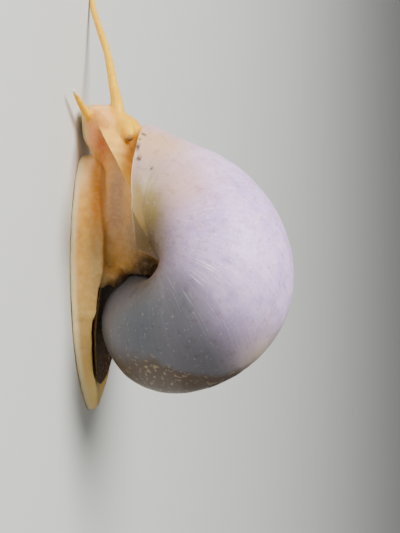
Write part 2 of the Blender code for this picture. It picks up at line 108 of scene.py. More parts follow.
# Slit of the mouth, down the front of the snout.
MOUTH = ((29.5, -2.0, 3.3), (29.6, -2.0, 2.0), (29.3, -2.0, 0.8), (28.4, -2.0, 0.4))
MOUTH_DEPTH = 0.4
MOUTH_WIDTH = 0.4

# Heights of the fine relief.
LUMP_HEIGHT = 0.06
FINE_LUMP_HEIGHT = 0.03
WRINKLE_HEIGHT = 0.10
RIPPLE_HEIGHT = 0.14          # of the sole's outline

# Places between which a paler tint sets in.
MUZZLE_FADE = (28.6, 29.3)    # forwards, round the mouth
CHIN_FADE = (21.5, 24.0)      # forwards, under the head
# On the left palp's tip the paler tint is a painted reflection.
TIP_FADE = (30.6, 32.0)       # forwards, on the left palp's tip
TIP_SIDE_FADE = (4.5, 7.5)    # and to the left

# Soft tints of the skin: colour, then the spots that it covers as centre and radii.
SKIN_TINTS = {
    "rear": ((0.50, 0.31, 0.085), [((-7.0, 7.0, 2.2), (8.0, 7.0, 4.0))]),
    # tail: paler end of the foot, painted light that lifts the shell's shadow from it
    "tail": ((0.82, 0.57, 0.19), [((-19.0, 1.5, 1.5), (6.0, 10.0, 5.0))]),
    "flank": ((0.46, 0.29, 0.085), [((4.0, 7.0, 4.6), (14.0, 6.0, 1.6))]),
    "mauve": ((0.38, 0.20, 0.095), [((13.5, 5.0, 7.4), (8.5, 8.0, 2.3))]),
    # under_lip_shade: darker column under the shell's lip, painted shade
    "under_lip_shade": ((0.34, 0.20, 0.10), [((8.5, 7.0, 10.5), (4.5, 8.0, 2.4))]),
    # hollow: near-black in the gaps between column, operculum and shell, painted shade
    "hollow": ((0.06, 0.030, 0.012), [((3.5, 8.0, 12.5), (3.2, 8.0, 3.4)),
                                      ((0.5, 4.0, 8.5), (2.2, 8.0, 4.0))]),
    # amber: deep orange in the hollow between the foot's top and the neck, painted shade
    "amber_shade": ((0.52, 0.19, 0.008), [((15.5, 5.0, 4.1), (7.5, 6.0, 1.25)),
                                    ((20.0, 1.5, 3.2), (1.8, 3.0, 1.2))]),
    # toe: paler front end of the foot, painted light that lifts the head's shadow from it
    "toe_painted_light": ((1.0, 0.60, 0.24), [((21.2, -1.0, 1.0), (1.8, 3.5, 1.8)),
                                ((19.0, 2.5, 1.6), (3.5, 3.0, 1.0))]),
    "salmon": ((0.74, 0.30, 0.10), [((24.6, 3.0, 3.0), (2.6, 4.0, 1.7))]),
    # recess: dark red-orange under the fold's free edge, painted shadow
    "recess_shadow": ((0.48, 0.12, 0.015), [((23.0, 4.0, 4.7), (3.0, 3.5, 1.3))]),
    "pink": ((0.76, 0.34, 0.09), [((28.0, 0.0, 6.0), (1.3, 3.0, 1.6))]),
    # brow: paler yellow on the bulge of the left eye's stalk, a painted highlight
    "brow": ((0.86, 0.46, 0.06), [((26.4, 1.6, 8.6), (2.6, 3.0, 2.2))]),
}

# Colours of the skin; where there are two, its lumps go from the first to the second.
FLESH_SHADES = ((0.70, 0.33, 0.045), (0.84, 0.44, 0.07))
FEELER_SHADES = ((0.82, 0.42, 0.004), (0.88, 0.52, 0.012))
# the feeler tip colour below is a painted reflection on the left palp's tip
FEELER_TIP_REFLECTION_COLOR = (0.86, 0.80, 0.55)
FEELER_ROOT_COLOR = (0.82, 0.30, 0.012)
RIM_COLOR = (0.88, 0.68, 0.36)
CELL_COLOR = (0.84, 0.62, 0.36)
# the furrow colour is painted shade along the crease between the foot and the neck
FURROW_SHADE_COLOR = (0.24, 0.09, 0.02)
MOUTH_COLOR = (0.30, 0.08, 0.03)
SOCKET_COLOR = (0.36, 0.17, 0.05)
SKIN_SPECK_COLOR = (0.36, 0.18, 0.06)

# Shell: a right-handed coil that grows by GROWTH in each turn.
GROWTH = 2.43
LIP_RADIUS = 12.5
LIP_DROP = 20.8
LIP_HALF_WIDTH = 12.0
LIP_HALF_HEIGHT = 14.4
SLANT = 1.85                  # how far the oval's outer side is shifted to the apex
SHOULDER = 2.4                # squareness of the oval beside the suture
PERIPHERY = 2.15              # and of its outer side towards the base
BASE = 3.45                   # and of its side along the umbilicus
CORE = 0.35                   # least distance of the lip's inner side from the axis
APEX = (-11.7, -5.15, 18.3)
AXIS_BACK = 48.0
AXIS_UP = 9.6
COIL_ROLL = -12.9
LIP_ANGLE = -2.5
LIP_LEAN = -1.5               # degrees that the lip hangs back at its base
FLARE = 1.9                   # outward turn of the lip
FLARE_ANGLE = -19.0
INNER_LIP = 3.2               # how far the lip's inner side runs on beside the axis
TURNS = 3.4
SHELL_STEP = 0.3              # distance between growth rings along the rim
SHELL_SIDES = 132
LIP_THICK = 0.42
WALL = 0.85
INSIDE_ANGLE = 75.0           # degrees that the inner wall reaches back
THICKEN_ANGLE = 8.0           # degrees over which it grows as thick as WALL
# Rounding of the lip's edge: degrees forwards and share of its thickness.
LIP_ROUND = ((0.28, 0.05), (0.38, 0.5), (0.28, 0.95), (0.0, 1.0))

# Soft tints of the shell, given as those of the skin.
SHELL_TINTS = {
    "warm": ((0.70, 0.44, 0.27), [((23.0, 7.0, 14.5), (6.0, 8.0, 6.0))]),
    "rosy": ((0.68, 0.41, 0.43), [((17.0, 11.5, 19.0), (5.0, 7.0, 5.0))]),
    "olive": ((0.25, 0.17, 0.05), [((13.5, 14.0, 13.6), (8.5, 8.0, 4.8))]),
    # umber: dark brown where the lip's base curls in beside the umbilicus, painted shade
    "umber_shade": ((0.16, 0.10, 0.035), [((7.2, 11.5, 12.9), (3.9, 4.6, 2.8))]),
    # buff: tan along the lower right edge of the shell, painted rim light
    "buff_rim_light": ((0.56, 0.44, 0.33), [((-11.0, 4.0, 30.5), (5.0, 9.0, 3.5))]),
    # plum and blue: dark blobs on the middle of the body whorl, painted shade
    "plum_shade": ((0.088, 0.081, 0.098), [((-3.5, 16.5, 19.5), (5.6, 6.0, 3.8))]),
    "blue_shade": ((0.070, 0.076, 0.090), [((-5.0, 16.0, 13.0), (5.0, 7.0, 3.6))]),
}
# Painted shade: the shell turns grey towards its lower back, away from the key light.
SHADE_GREY_COLOR = (0.104, 0.099, 0.112)
GREY_FROM, GREY_TO = 26.5, 9.0     # its fade, along forwards and up at once
# Painted shade: a dark brown band round the back of the shell, which faces away from the light.
DUSK_SHADE_COLOR = (0.07, 0.038, 0.017)
DUSK_TOP = -13.2              # brown band round the back: its upper edge, as forward place
DUSK_MIDDLE = 24.0            # height at which that edge lies lowest
DUSK_CURVE = 0.042
DUSK_LOW = 15.0               # height under which the edge is level and fades out
# Dark spots along the lip, as place and radius.
LIP_SPOTS = ((24.8, 6.6, 12.6, 0.55), (25.4, 5.0, 12.9, 0.4), (22.7, 9.9, 12.1, 0.35),
             (20.7, 11.9, 12.6, 0.4), (19.1, 11.7, 14.5, 0.22), (23.8, 8.4, 12.2, 0.22))
GLINT_SPOT = ((4.0, 16.5, 24.5), (6.0, 6.0, 5.0))    # where painted highlights lie: pale flecks along the growth lines
# Painted rim light: golden tan on the shell's side turned away from the camera and on the spire.
LEFT_UP = (0.09, 0.97, 0.17)  # the side that shows in the picture
RIM_LIGHT_FADE = (0.25, -0.35)
SPIRE_FADE = (-300.0, -400.0)      # degrees of growth over which the spire sets in

# Colours of the shell, given as those of the skin.
PEARL_SHADES = ((0.68, 0.475, 0.85), (0.82, 0.60, 0.96))
BLOTCH_COLOR = (0.84, 0.79, 0.88)
VEIN_COLOR = (0.90, 0.80, 0.96)
STREAK_COLOR = (0.86, 0.84, 0.85)
STAIN_COLOR = (0.80, 0.72, 0.62)
GLINT_COLOR = (0.90, 0.86, 0.92)
DUSK_SPECK_COLOR = (0.42, 0.34, 0.16)
RIM_LIGHT_COLOR = (0.68, 0.54, 0.33)
LIP_COLOR = (0.62, 0.42, 0.19)
SHELL_SPECK_COLOR = (0.30, 0.24, 0.20)
DOT_COLOR = (0.05, 0.025, 0.015)
INSIDE_COLOR = (0.60, 0.42, 0.24)

# Operculum
PLATE_CENTRE = (-6.9, 0.4)
PLATE_HALF = (9.7, 7.4)
PLATE_THICK = 0.7
PLATE_DISH = 1.15
PLATE_LOW = 2.95
PLATE_RISE_FROM = -8.0
PLATE_RISE = 0.0175
PLATE_NUCLEUS = (0.0, -0.35)  # middle of its rings, as shares of its halves
PLATE_SIDES = 160
PLATE_RINGS = 70
PLATE_FRONT = 0.85            # squareness of its front end
PLATE_FRAY = 0.006
RIDGE_HEIGHT = 0.025
RIDGE_TURNS = 88.0            # radians of ridges from the nucleus to the edge
HORN_SHADES = ((0.050, 0.020, 0.005), (0.100, 0.048, 0.013))
HORN_GRAIN_COLOR = (0.15, 0.085, 0.03)
HORN_SPECK_COLOR = (0.42, 0.32, 0.16)

# Eyes
EYE_RADIUS = 0.45
EYE_SHADES = ((0.14, 0.065, 0.025), (0.26, 0.13, 0.05))
SOCKET_RADIUS = 0.8           # skin round each eye
SOCKET_BACK = 0.55            # its centre, behind the eye's

# Floor, in metres, and lights as place, size, power and colour.
FLOOR_HALF_WIDTH = 4.0
FLOOR_NEAR = 2.5
FLOOR_FAR = 3.0
FLOOR_BEND = 1.0
FLOOR_BEND_STEPS = 12
FLOOR_HEIGHT = 2.5            # of its raised far end
FLOOR_SHADES = ((0.62, 0.63, 0.60), (0.65, 0.66, 0.63))
KEY_LIGHT = ((0.42, 0.21, 0.52), 0.5, 11.5, (1.0, 0.985, 0.96))
FILL_LIGHT = ((0.10, 0.60, 0.10), 0.5, 1.2, (0.96, 0.98, 1.0))
LIGHT_AIM = (0.0, 0.0, 0.015)
WORLD_COLOR = (0.88, 0.89, 0.90, 1.0)
WORLD_STRENGTH = 0.3


# Numbers and meshes

def smoothstep(low, high, value):
    t = np.clip((value - low) / (high - low), 0.0, 1.0)
    return t * t * (3.0 - 2.0 * t)


def noise_field(points, size, seed):
    """Smooth random field from -1 to 1 whose bumps have the given size."""
    scaled = np.asarray(points, dtype=float) / np.asarray(size, dtype=float)
    cell = np.floor(scaled).astype(np.int64)
    t = scaled - cell
    t = t * t * (3.0 - 2.0 * t)
    total = np.zeros(len(scaled))
    for corner in range(8):
        step = np.array([(corner >> k) & 1 for k in range(3)])
        key = (cell + step) @ np.array([73856093, 19349663, 83492791]) + seed * 26544357
        key = (key ^ (key >> 13)) * 1274126177
        key = (key ^ (key >> 16)) & 0xFFFF
        weight = np.prod(np.where(step == 1, t, 1.0 - t), axis=1)
        total += weight * (key / 32767.5 - 1.0)
    return total


def points_of(obj):
    """Vertices in millimetres."""
    flat = np.empty(len(obj.data.vertices) * 3, dtype=np.float32)
    obj.data.vertices.foreach_get("co", flat)
    return flat.reshape(-1, 3).astype(float) / MM


def put_points(obj, points):
    obj.data.vertices.foreach_set("co", (np.asarray(points) * MM).astype(np.float32).ravel())
    obj.data.update()


def normals_of(obj):
    flat = np.empty(len(obj.data.vertices) * 3, dtype=np.float32)
    obj.data.vertex_normals.foreach_get("vector", flat)
    return flat.reshape(-1, 3).astype(float)


def edges_of(obj):
    flat = np.empty(len(obj.data.edges) * 2, dtype=np.int32)
    obj.data.edges.foreach_get("vertices", flat)
    return flat.reshape(-1, 2)


def smoothed(points, edges, passes, weight=1.0, swell_back=0.53):
    """Evens out the surface without shrinking it, more where the weight is higher."""
    a, b = edges[:, 0], edges[:, 1]
    count = len(points)
    degree = np.bincount(a, minlength=count) + np.bincount(b, minlength=count)
    degree = np.maximum(degree, 1)[:, None]
    weight = np.broadcast_to(np.asarray(weight, dtype=float), (count,))[:, None]
    points = points.copy()
    for _ in range(passes):
        for factor in (0.5, -swell_back):
            around = np.stack([
                np.bincount(a, points[b, k], count) + np.bincount(b, points[a, k], count)
                for k in range(3)
            ], axis=1)
            points += factor * weight * (around / degree - points)
    return points


def mesh_piece(name, vertices, faces):
    """Object made from millimetre points and faces."""
    mesh = bpy.data.meshes.new(name)
    mesh.from_pydata((np.asarray(vertices) * MM).tolist(), [], faces)
    mesh.update()
    obj = bpy.data.objects.new(name, mesh)
    bpy.context.scene.collection.objects.link(obj)
    return obj


def shade_smooth(obj):
    obj.data.polygons.foreach_set("use_smooth", [True] * len(obj.data.polygons))
    obj.data.update()


def apply_modifiers(obj):
    bpy.context.view_layer.update()
    depsgraph = bpy.context.evaluated_depsgraph_get()
    old = obj.data
    obj.data = bpy.data.meshes.new_from_object(obj.evaluated_get(depsgraph))
    obj.modifiers.clear()
    bpy.data.meshes.remove(old)


def joined(name, objects):
    """One object with the welded meshes of several, which stay as they are."""
    bm = bmesh.new()
    for obj in objects:
        bm.from_mesh(obj.data)
    bmesh.ops.remove_doubles(bm, verts=bm.verts, dist=1e-7)
    mesh = bpy.data.meshes.new(name)
    bm.to_mesh(mesh)
    bm.free()
    piece = bpy.data.objects.new(name, mesh)
    bpy.context.scene.collection.objects.link(piece)
    return piece


def discard(*objects):
    for obj in objects:
        bpy.data.objects.remove(obj, do_unlink=True)


def swell(obj, amount):
    put_points(obj, points_of(obj) + amount * normals_of(obj))


def remesh(obj, voxel):
    mod = obj.modifiers.new("even", "REMESH")
    mod.mode = "VOXEL"
    mod.voxel_size = voxel * MM
    apply_modifiers(obj)


def store(obj, name, values):
    """Number for each vertex that the materials read."""
    layer = obj.data.attributes.new(name, "FLOAT", "POINT")
    layer.data.foreach_set("value", np.asarray(values, dtype=np.float32))


# Skin

def distance_to(points, objects):
    """Distance of each point to the nearest face of the objects."""
    vertices, faces = [], []
    for obj in objects:
        start = len(vertices)
        vertices += points_of(obj).tolist()
        faces += [[start + i for i in polygon.vertices] for polygon in obj.data.polygons]
    tree = BVHTree.FromPolygons(vertices, faces)
    return np.array([tree.find_nearest(point)[3] for point in points.tolist()])


def nodes_named(names):
    return [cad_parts[name] for name in names]


def along(values, count):
    """Smooth curve through the given rows, sampled evenly by row."""
    rows = np.asarray(values, dtype=float)
    padded = np.vstack([2 * rows[0] - rows[1], rows, 2 * rows[-1] - rows[-2]])
    curve = []
    for s in np.linspace(0, len(rows) - 1, count):
        i = min(int(s), len(rows) - 2)
        t = s - i
        a, b, c, d = padded[i:i + 4]
        square, cube = 2 * a - 5 * b + 4 * c - d, 3 * b - a - 3 * c + d
        curve.append(b + 0.5 * ((c - a) * t + square * t**2 + cube * t**3))
    return np.array(curve)


def ball(name, centre, radii):
    bm = bmesh.new()
    bmesh.ops.create_uvsphere(bm, u_segments=40, v_segments=24, radius=MM)
    mesh = bpy.data.meshes.new(name)
    bm.to_mesh(mesh)
    bm.free()
    obj = bpy.data.objects.new(name, mesh)
    bpy.context.scene.collection.objects.link(obj)
    put_points(obj, points_of(obj) * np.array(radii) + np.array(centre))
    return obj


def groove_share(points, path, width):
    """1 along the path, 0 away from it."""
    gap = np.full(len(points), np.inf)
    for place in along(path, 60):
        gap = np.minimum(gap, np.linalg.norm(points - place, axis=1))
    return np.exp(-(gap / width) ** 2)


def furrow_share(points):
    """1 along the furrow over the foot, 0 away from it."""
    return groove_share(points, FURROW, FURROW_WIDTH) * smoothstep(*FURROW_FADE, points[:, 0])


def make_fold():
    """Thin fold with a rounded free edge, bowed a little outwards."""
    edges, roots = along(FOLD_EDGE, 70), along(FOLD_ROOT, 70)
    reach = np.linspace(0.0, 1.0, 26)
    half = FOLD_ROOT_HALF + (FOLD_EDGE_HALF - FOLD_ROOT_HALF) * np.minimum(1.0, reach / 0.7)
    half *= np.sqrt(np.maximum(0.0, 1.0 - reach**16))
    bow = -FOLD_BOW * np.sin(math.pi * np.minimum(1.0, reach * 1.1))
    rings = []
    for edge, root, tangent in zip(edges, roots, np.gradient(edges, axis=0)):
        outward = edge - root
        inner_side = np.cross(tangent, outward)
        inner_side /= np.linalg.norm(inner_side)
        middle = root + reach[:, None] * outward
        front = middle + (bow - half)[:, None] * inner_side
        back = middle + (bow + half)[:, None] * inner_side
        rings.append(np.vstack([front, back[-2::-1]]))
    sides = len(rings[0])
    faces = grid_faces(len(rings), sides)
    faces += [(i * sides + sides - 1, (i + 1) * sides + sides - 1, (i + 1) * sides, i * sides)
              for i in range(len(rings) - 1)]
    faces.append(tuple(range(sides))[::-1])
    faces.append(tuple((len(rings) - 1) * sides + j for j in range(sides)))
    return mesh_piece("fold", np.vstack(rings), faces)


def eye_centre(side):
    low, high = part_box(side + "_eye")
    return 0.5 * (np.array(low) + np.array(high)) / MM


def make_socket(side):
    """Ball of skin that holds the eye, towards the middle of its stalk."""
    low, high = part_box(side + "_eye_stalk")
    inward = 0.5 * (np.array(low) + np.array(high)) / MM - eye_centre(side)
    inward *= SOCKET_BACK / np.linalg.norm(inward)
    return ball("socket", eye_centre(side) + inward, (SOCKET_RADIUS,) * 3)


def rough_skin(fold):
    """All flesh as one even mesh; the fold stands in for the left flap."""
    trunk = joined("trunk", nodes_named(TRUNK))
    swell(trunk, BRIDGE)
    remesh(trunk, TRUNK_VOXEL)
    put_points(trunk, smoothed(points_of(trunk), edges_of(trunk), TRUNK_PASSES))
    feelers = joined("feelers", nodes_named(FLAPS[1:] + FEELERS))
    swell(feelers, BRIDGE)
    mounds = [ball(name, *size) for name, size in MOUNDS.items()]
    mounds += [make_socket(side) for side in ("left", "right")]
    skin = joined("snail_skin", [trunk, feelers, fold, *mounds])
    discard(trunk, feelers, *mounds)
    remesh(skin, SKIN_VOXEL)
    put_points(skin, smoothed(points_of(skin), edges_of(skin), SKIN_PASSES))
    swell(skin, -BRIDGE)
    return skin


def make_skin():
    fold = make_fold()
    skin = rough_skin(fold)
    points, edges = points_of(skin), edges_of(skin)
    slim, folded = feeler_share(points), fold_share(points, fold)
    weight = ROOT_REST + (1.0 - ROOT_REST) * root_share(slim) * (1.0 - folded)
    points = smoothed(points, edges, ROOT_PASSES, weight)
    points = smoothed(points, edges, EASE_PASSES, eased_share(points, folded), EASE_SWELL)
    put_points(skin, points)
    sculpt(skin, slim, folded)
    paint(skin, slim, folded)
    shade_smooth(skin)
    discard(fold)
    return skin


def feeler_share(points):
    """1 on feelers, 0 on the trunk, with a soft step at their roots."""
    near_feeler = distance_to(points, nodes_named(FEELERS))
    near_trunk = distance_to(points, nodes_named(TRUNK + FLAPS))
    return smoothstep(-0.9, 0.9, near_trunk - near_feeler)


def root_share(slim):
    """1 in the middle of the step at a feeler's root, 0 on both sides of it."""
    return 4.0 * slim * (1.0 - slim)


def eased_share(points, folded):
    """1 on the stretches that are smoothed most, 0 elsewhere and on the fold."""
    share = np.zeros(len(points))
    for *middle, far in EASED:
        gap = np.linalg.norm(points - np.array(middle), axis=1)
        share = np.maximum(share, smoothstep(far, 0.6 * far, gap) * (1.0 - folded))
    return share


def fold_share(points, fold):
    """1 on the fold over the neck, 0 elsewhere."""
    near_trunk = distance_to(points, nodes_named(TRUNK))
    return smoothstep(-0.1, 0.5, near_trunk - distance_to(points, [fold]))


def sculpt(skin, slim, folded):
    """Fine relief: soft lumps, wrinkles up the foot's flanks and a flat sole."""
    points, normals = points_of(skin), normals_of(skin)
    body = (1.0 - slim) * (1.0 - 0.8 * folded)
    height = points[:, 2]
    lumps = LUMP_HEIGHT * noise_field(points, 2.2, 1)
    lumps += FINE_LUMP_HEIGHT * noise_field(points, 0.8, 2)
    low = smoothstep(0.4, 1.4, height) * smoothstep(6.5, 4.0, height)
    wrinkles = noise_field(points, (1.1, 2.4, 3.2), 3) * low
    neck = smoothstep(5.0, 6.5, height) * smoothstep(22.0, 19.0, points[:, 0])
    wrinkles += 0.8 * noise_field(points, (2.6, 2.4, 0.9), 5) * neck
    rim = smoothstep(1.3, 0.3, height)
    ripple = noise_field(points * (1, 1, 0), 2.6, 4)
    relief = (lumps + WRINKLE_HEIGHT * wrinkles) * body - FURROW_DEPTH * furrow_share(points)
    relief -= MOUTH_DEPTH * groove_share(points, MOUTH, MOUTH_WIDTH)
    moved = points + normals * relief[:, None]
    outwards = normals * (1.0, 1.0, 0.0)
    moved += outwards * (RIPPLE_HEIGHT * ripple * rim * body)[:, None]
    moved[:, 2] = np.maximum(moved[:, 2], 0.0)
    put_points(skin, moved)


def blob(points, centre, radii):
    """Soft spot that is 1 in its middle."""
    scaled = (points - np.array(centre)) / np.array(radii)
    return np.exp(-np.sum(scaled**2, axis=1))


def tint_share(points, spots):
    return np.minimum(1.0, 1.15 * sum(blob(points, centre, radii) for centre, radii in spots))


def paint(skin, slim, folded):
    """Where each tint of the skin lies, as a share for each vertex."""
    points, normals = points_of(skin), normals_of(skin)
    forward, left, height = points.T
    trunk = (1.0 - slim) * (1.0 - folded)
    for name, (_, spots) in SKIN_TINTS.items():
        store(skin, name, tint_share(points, spots) * trunk)
    # painted shade along the furrow
    store(skin, "furrow_shade", 0.75 * furrow_share(points) * trunk)
    store(skin, "mouth", groove_share(points, MOUTH, 1.3 * MOUTH_WIDTH))
    store(skin, "feeler", slim)
    sole_edge = smoothstep(1.5, 0.5, height) * trunk
    muzzle = smoothstep(*MUZZLE_FADE, forward) * smoothstep(0.97, 0.80, normals[:, 0]) * trunk
    chin = smoothstep(-0.55, -0.95, normals[:, 2]) * smoothstep(*CHIN_FADE, forward) * trunk
    store(skin, "rim", np.maximum(sole_edge, np.maximum(0.5 * muzzle, 0.8 * chin)))
    store(skin, "root", root_share(slim) * (1.0 - folded))
    # paler left palp tip: painted reflection
    tip = smoothstep(*TIP_FADE, forward) * smoothstep(*TIP_SIDE_FADE, left)
    store(skin, "tip_reflection", tip * slim)
    stalks = distance_to(points, nodes_named(["left_eye", "right_eye"]))
    store(skin, "round_eye", smoothstep(0.9, 0.15, stalks))


# Shell

def shell_axes():
    back, up, roll = (math.radians(v) for v in (AXIS_BACK, AXIS_UP, COIL_ROLL))
    apexward = np.array([-math.sin(back) * math.cos(up), -math.cos(back) * math.cos(up), math.sin(up)])
    level = np.array([1.0, 0.0, 0.0]) - apexward[0] * apexward
    level /= np.linalg.norm(level)
    across = np.cross(apexward, level)
    outward = level * math.cos(roll) + across * math.sin(roll)
    return outward, np.cross(apexward, outward), apexward


def squareness(outwards, apexwards):
    """Exponent of the oval in each of its quarters."""
    outside = np.where(apexwards > 0, SHOULDER, PERIPHERY)
    inside = np.where(apexwards < 0, BASE, 2.0)
    return np.where(outwards > 0, outside, inside)


def oval_point(turn):
    """Radius and height on the opening's oval."""
    c, s = np.cos(turn), np.sin(turn)
    power = 2.0 / squareness(c, s)
    return np.sign(c) * np.abs(c) ** power, np.sign(s) * np.abs(s) ** power


def open_arc():
    """Range of turn in which the oval lies outside the whorl before it."""
    turn = np.linspace(0, 2 * math.pi, 3601)
    u, v = oval_point(turn)
    x = ((LIP_RADIUS + LIP_HALF_WIDTH * u) * GROWTH - LIP_RADIUS) / LIP_HALF_WIDTH
    y = ((SLANT * u - LIP_DROP + LIP_HALF_HEIGHT * v) * GROWTH + LIP_DROP - SLANT * x) / LIP_HALF_HEIGHT
    power = squareness(x, y)
    hidden = turn[np.abs(x) ** power + np.abs(y) ** power < 1.0]
    return hidden.min(), hidden.max()


def inner_share(u, v):
    """1 on the oval's inner side just below its middle, falling to 0 at its base."""
    share = np.minimum(1.0, np.maximum(0.0, -v / 0.15)) * np.maximum(0.0, 1.0 + v / 0.85)
    return np.where(u < 0, share, 0.0)


def coil(angles, turns, inset):
    """Points of the growing tube; angles in degrees back from the lip's plane."""
    outward, across, apexward = shell_axes()
    growth = angles - LIP_LEAN * np.maximum(0.0, -np.sin(turns)) * (1.0 + np.cos(turns))
    scale = GROWTH ** (growth / 360.0)
    edge = np.maximum(0.0, (growth - FLARE_ANGLE) / (LIP_ANGLE - FLARE_ANGLE)) ** 2
    flare = FLARE * edge
    spin = np.radians(-growth)
    radial = np.cos(spin)[..., None] * outward + np.sin(spin)[..., None] * across
    onward = np.sin(spin)[..., None] * outward - np.cos(spin)[..., None] * across
    u, v = oval_point(turns)
    least = np.maximum(CORE * scale + 0.4 * inset, 0.5 * CORE * scale)
    r = np.maximum(scale * LIP_RADIUS + (scale * LIP_HALF_WIDTH + flare - inset) * u, least)
    h = scale * (SLANT * u - LIP_DROP) + (scale * LIP_HALF_HEIGHT + 0.5 * flare - inset) * v
    reach = INNER_LIP * edge * inner_share(u, v)
    place = np.array(APEX) + r[..., None] * radial + h[..., None] * apexward
    return place + reach[..., None] * onward


def rim_length(angle):
    """Distance along the coil's outer edge from the apex."""
    reach = LIP_RADIUS + LIP_HALF_WIDTH
    return reach * GROWTH ** (angle / 360.0) / (math.log(GROWTH) / (2 * math.pi))


def angle_at(length):
    reach = LIP_RADIUS + LIP_HALF_WIDTH
    return 360.0 * np.log(length * (math.log(GROWTH) / (2 * math.pi)) / reach) / math.log(GROWTH)


def growth_relief(length, turn):
    """Height of the growth lines, finer ones on coarser ones, bent a little across the whorl."""
    bent = length + 0.5 * np.sin(turn * 2.0 + 0.4)
    rows = np.stack([bent, turn * 1.5, np.zeros_like(bent)], axis=-1)
    flat = rows.reshape(-1, 3)
    height = 0.05 * noise_field(flat, (2.4, 1.4, 1.0), 11)
    height += 0.022 * noise_field(flat, (0.8, 1.1, 1.0), 12)
    height += 0.04 * noise_field(flat * (1, 3, 1), (7.0, 3.0, 1.0), 13)
    return height.reshape(bent.shape)


def grid_faces(rows, columns):
    i, j = np.meshgrid(np.arange(rows - 1), np.arange(columns - 1), indexing="ij")
    low, high = i * columns + j, (i + 1) * columns + j
    return np.stack([low, high, high + 1, low + 1], axis=-1).reshape(-1, 4).tolist()


def shell_rings(outer, relief):
    """Angle and inset of each ring: the outer side, the rounded lip and the inner side."""
    angles, insets = list(outer), list(-relief)
    last = insets[-1]
    for forward, depth in LIP_ROUND:
        angles.append(LIP_ANGLE + forward)
        insets.append(last * (1 - depth) + LIP_THICK * depth)
    inside = np.concatenate([np.linspace(0.5, THICKEN_ANGLE, 10), np.linspace(10.0, INSIDE_ANGLE, 30)])
    for back in inside:
        angles.append(LIP_ANGLE - back)
        thick = LIP_THICK + (WALL - LIP_THICK) * smoothstep(0.0, THICKEN_ANGLE, back)
        insets.append(np.full(len(last), thick))
    return np.array(angles), np.array(insets)


def make_shell():
    """One sheet from the apex out to the lip, over its rounded edge and back inside."""
    start, stop = open_arc()
    step = 1.0
    lip_length = rim_length(LIP_ANGLE)
    lengths = np.arange(lip_length, rim_length(-360.0 * TURNS), -SHELL_STEP * step)[::-1]
    outer = angle_at(lengths)
    margin = 0.02
    turns = np.linspace(stop - margin, start + 2 * math.pi + margin, int(SHELL_SIDES / step))
    scale = GROWTH ** (outer / 360.0)
    relief = growth_relief(lengths[:, None] + 0 * turns, turns[None, :] + 0 * lengths[:, None])
    relief *= np.minimum(1.0, scale * 4.0)[:, None]
    angles, insets = shell_rings(outer, relief)
    grid_angle = np.repeat(angles[:, None], len(turns), axis=1)
    grid_turn = np.repeat(turns[None, :], len(angles), axis=0)
    points = coil(grid_angle, grid_turn, insets)
    outward_faces = [face[::-1] for face in grid_faces(*grid_angle.shape)]
    shell = mesh_piece("snail_shell", points.reshape(-1, 3), outward_faces)
    inner = (np.arange(len(angles)) > len(outer) + 1).astype(float)
    store(shell, "growth", rim_length(grid_angle).ravel())
    store(shell, "around", ((grid_turn - start) / (2 * math.pi)).ravel())
    store(shell, "inner", np.repeat(inner, len(turns)))
    lip, spire = smoothstep(-0.8, -0.2, angles - LIP_ANGLE), smoothstep(*SPIRE_FADE, angles)
    paint_shell(shell, np.repeat(lip, len(turns)), np.repeat(spire, len(turns)))
    shade_smooth(shell)
    return shell


def paint_shell(shell, lip, spire):
    """Where each tint of the shell lies, as a share for each vertex."""
    points = points_of(shell)
    for name, (_, spots) in SHELL_TINTS.items():
        store(shell, name, tint_share(points, spots))
    store(shell, "lip", lip * (1.0 - tint_share(points, SHELL_TINTS["umber_shade"][1])))
    x, height = points[:, 0], points[:, 2]
    # painted shade: brown band round the back, below a wavy edge
    edge = DUSK_TOP + DUSK_CURVE * (np.maximum(height, DUSK_LOW) - DUSK_MIDDLE) ** 2
    wavy = edge + 0.35 * noise_field(points, 1.6, 31)
    # painted shade, greying towards the lower back
    across_fade = (x + height) / math.sqrt(2.0) + 1.2 * noise_field(points, 6.0, 32)
    store(shell, "grey_shade", smoothstep(GREY_FROM, GREY_TO, across_fade))
    soft = 1.0 + 0.5 * np.maximum(0.0, DUSK_LOW + 1.0 - height)
    store(shell, "dusk_shade", smoothstep(-0.5, 0.7, (wavy - x) / soft))
    # painted rim light on the far side and the spire
    facing = normals_of(shell) @ np.array(LEFT_UP)
    store(shell, "far_side_rim_light", np.maximum(spire, smoothstep(*RIM_LIGHT_FADE, facing)))
    dots = sum(blob(points, spot[:3], (spot[3],) * 3) for spot in LIP_SPOTS)
    store(shell, "dots", smoothstep(0.25, 0.6, dots))
    store(shell, "glint", blob(points, *GLINT_SPOT))


# Operculum

def plate_top(x, y):
    rise = np.maximum(0.0, x - PLATE_RISE_FROM)
    across = (y - PLATE_CENTRE[1]) / PLATE_HALF[1]
    return PLATE_LOW + PLATE_RISE * rise**2 + PLATE_DISH * across**2


